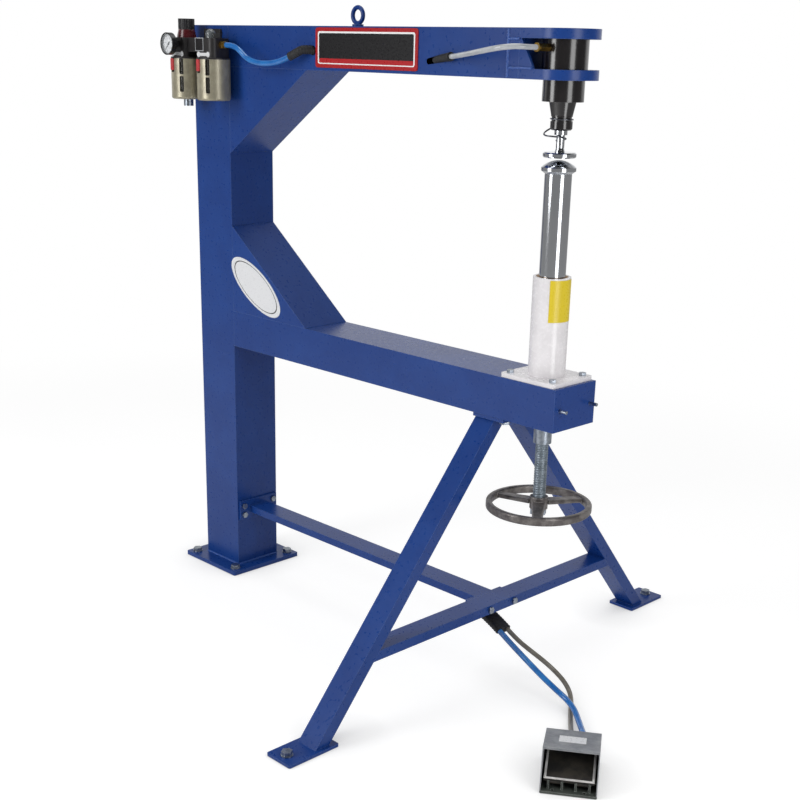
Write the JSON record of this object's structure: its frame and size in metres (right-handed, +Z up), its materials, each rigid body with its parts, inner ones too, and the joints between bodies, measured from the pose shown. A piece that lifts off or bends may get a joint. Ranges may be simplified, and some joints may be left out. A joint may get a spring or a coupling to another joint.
{
  "type": "pneumatic planishing hammer",
  "caption": "Box-framed pneumatic planishing hammer with a screw-lifted anvil post, air unit, splayed front stand and foot pedal, for smoothing sheet metal.",
  "frame": {"origin": "centre of the column foot's underside, on the floor", "axes": "+X from the column to the hammer, +Y away from the air unit's side, +Z up"},
  "size_m": [1.4608, 1.195, 1.3525],
  "materials": {
    "blue_enamel": "glossy welded-frame enamel",
    "white_enamel": "gloss white enamel",
    "black_finish": "black oxide and paint, satin",
    "hard_chrome": "polished hard chrome",
    "zinc_steel": "zinc-plated steel",
    "spring_steel": "drawn spring wire",
    "cast_wheel": "cast and turned, bare",
    "bronze": "sintered bronze",
    "brass": "turned brass",
    "cast_black": "black powder coat on die-cast zinc",
    "black_plastic": "moulded, fine grain",
    "dark_red": "dark red lacquer",
    "red_plastic": "moulded acetal",
    "guard_olive": "olive-grey metallic paint",
    "clear_plastic": "clear moulded polycarbonate",
    "gauge_case": "black moulded case, white dial",
    "needle": "black needle",
    "silver_cast": "die-cast, satin",
    "blue_hose": "polyurethane hose",
    "clear_hose": "clear vinyl hose",
    "grey_hose": "grey polyurethane hose",
    "black_rubber": "moulded rubber sleeve",
    "grey_sheet": "grey hammered enamel on sheet steel",
    "treadle_black": "black ribbed tread",
    "blank_print": "plain printed film, no text",
    "badge_print": "plain painted plate, no text"
  },
  "bodies": {
    "frame": {"column": "blue_enamel", "base_plate": "blue_enamel", "upper_arm": "blue_enamel", "lower_arm": "blue_enamel", "gussets": "blue_enamel", "bracket_plates": "blue_enamel", "saddle_plate": "blue_enamel", "leg_near": "blue_enamel", "leg_far": "blue_enamel", "stretcher": "blue_enamel", "brace": "blue_enamel", "guide_tube": "white_enamel", "hammer_barrel": "black_finish", "hammer_back_head": "black_finish", "hammer_nose": "black_finish", "lifting_eye": "zinc_steel", "anchor_bolts": "zinc_steel", "frame_bolts": "zinc_steel", "screw_nut": "zinc_steel", "treadle_pin": "zinc_steel", "retainer_spring": "spring_steel", "treadle_spring": "spring_steel", "guide_bush": "bronze", "inlet_fitting": "brass", "outlet_fitting": "brass", "regulator_body": "cast_black", "lubricator_body": "cast_black", "pedal_valve": "cast_black", "filler_plug": "black_plastic", "regulator_bonnet": "dark_red", "bowl_guards": "guard_olive", "inner_bowls": "clear_plastic", "gauge_lens": "clear_plastic", "gauge_case": "gauge_case", "unit_bracket": "silver_cast", "air_hose": "blue_hose", "pedal_hose_blue": "blue_hose", "hammer_hose": "clear_hose", "pedal_hose_grey": "grey_hose", "hose_sleeves": "black_rubber", "pedal_base": "grey_sheet", "pedal_guard": "grey_sheet", "blank_labels": "blank_print", "badge_plate": "badge_print"},
    "post": {"post": "hard_chrome", "anvil_cap": "hard_chrome", "thrust_bearing": "zinc_steel"},
    "handwheel": {"handwheel": "cast_wheel", "lift_screw": "zinc_steel", "wheel_nut": "zinc_steel"},
    "upper_die": {"upper_die": "hard_chrome"},
    "hammer_piston": {"hammer_piston": "zinc_steel"},
    "regulator_knob": {"regulator_knob": "black_plastic"},
    "gauge_needle": {"gauge_needle": "needle"},
    "drain_cock": {"drain_cock": "zinc_steel"},
    "sight_dome": {"sight_dome": "clear_plastic"},
    "filter_latch": {"filter_latch": "red_plastic"},
    "lubricator_latch": {"lubricator_latch": "red_plastic"},
    "treadle": {"treadle": "treadle_black"},
    "valve_plunger": {"valve_plunger": "zinc_steel"}
  },
  "joints": [
    {"name": "post_lift", "type": "slide", "parent": "frame", "child": "post", "axis": [0, 0, 1], "range_m": [-0.15, 0.0035]},
    {"name": "handwheel_turn", "type": "hinge", "parent": "post", "child": "handwheel", "pos_m": [0.98, 0, 0.4], "axis": [0, 0, 1], "range_deg": [-10790, 250]},
    {"name": "die_stroke", "type": "slide", "parent": "frame", "child": "upper_die", "axis": [0, 0, 1], "range_m": [0, 0.009]},
    {"name": "piston_stroke", "type": "slide", "parent": "frame", "child": "hammer_piston", "axis": [0, 0, 1], "range_m": [0, 0.04]},
    {"name": "regulator_turn", "type": "hinge", "parent": "frame", "child": "regulator_knob", "pos_m": [-0.034, -0.104, 1.31], "axis": [0, 0, 1], "range_deg": [-1080, 0]},
    {"name": "gauge_needle_turn", "type": "hinge", "parent": "frame", "child": "gauge_needle", "pos_m": [-0.034, -0.155, 1.268], "axis": [0, 1, 0], "range_deg": [0, 270]},
    {"name": "drain_cock_turn", "type": "hinge", "parent": "frame", "child": "drain_cock", "pos_m": [-0.034, -0.104, 1.14], "axis": [0, 0, 1], "range_deg": [0, 180]},
    {"name": "sight_dome_turn", "type": "hinge", "parent": "frame", "child": "sight_dome", "pos_m": [0.056, -0.104, 1.29], "axis": [0, 0, 1], "range_deg": [-360, 360]},
    {"name": "filter_latch_slide", "type": "slide", "parent": "frame", "child": "filter_latch", "axis": [0, 0, -1], "range_m": [0, 0.004], "stiffness_N_per_m": 800, "springref_m": -0.002},
    {"name": "lubricator_latch_slide", "type": "slide", "parent": "frame", "child": "lubricator_latch", "axis": [0, 0, -1], "range_m": [0, 0.004], "stiffness_N_per_m": 800, "springref_m": -0.002},
    {"name": "treadle_press", "type": "hinge", "parent": "frame", "child": "treadle", "pos_m": [1.30582, -0.27173, 0.019], "axis": [-0.8192, -0.5736, 0], "range_deg": [0, 12], "stiffness_Nm_per_rad": 4, "springref_deg": -8, "deforming": ["treadle_spring"]},
    {"name": "plunger_press", "type": "slide", "parent": "frame", "child": "valve_plunger", "axis": [0, 0, -1], "range_m": [0, 0.0109]}
  ],
  "couplings": [
    {"joint": "post_lift", "follows": "handwheel_turn", "m_per_rad": 0.00079577},
    {"joint": "gauge_needle_turn", "follows": "regulator_turn", "ratio": -0.25},
    {"joint": "plunger_press", "follows": "treadle_press", "m_per_rad": 0.05147}
  ]
}
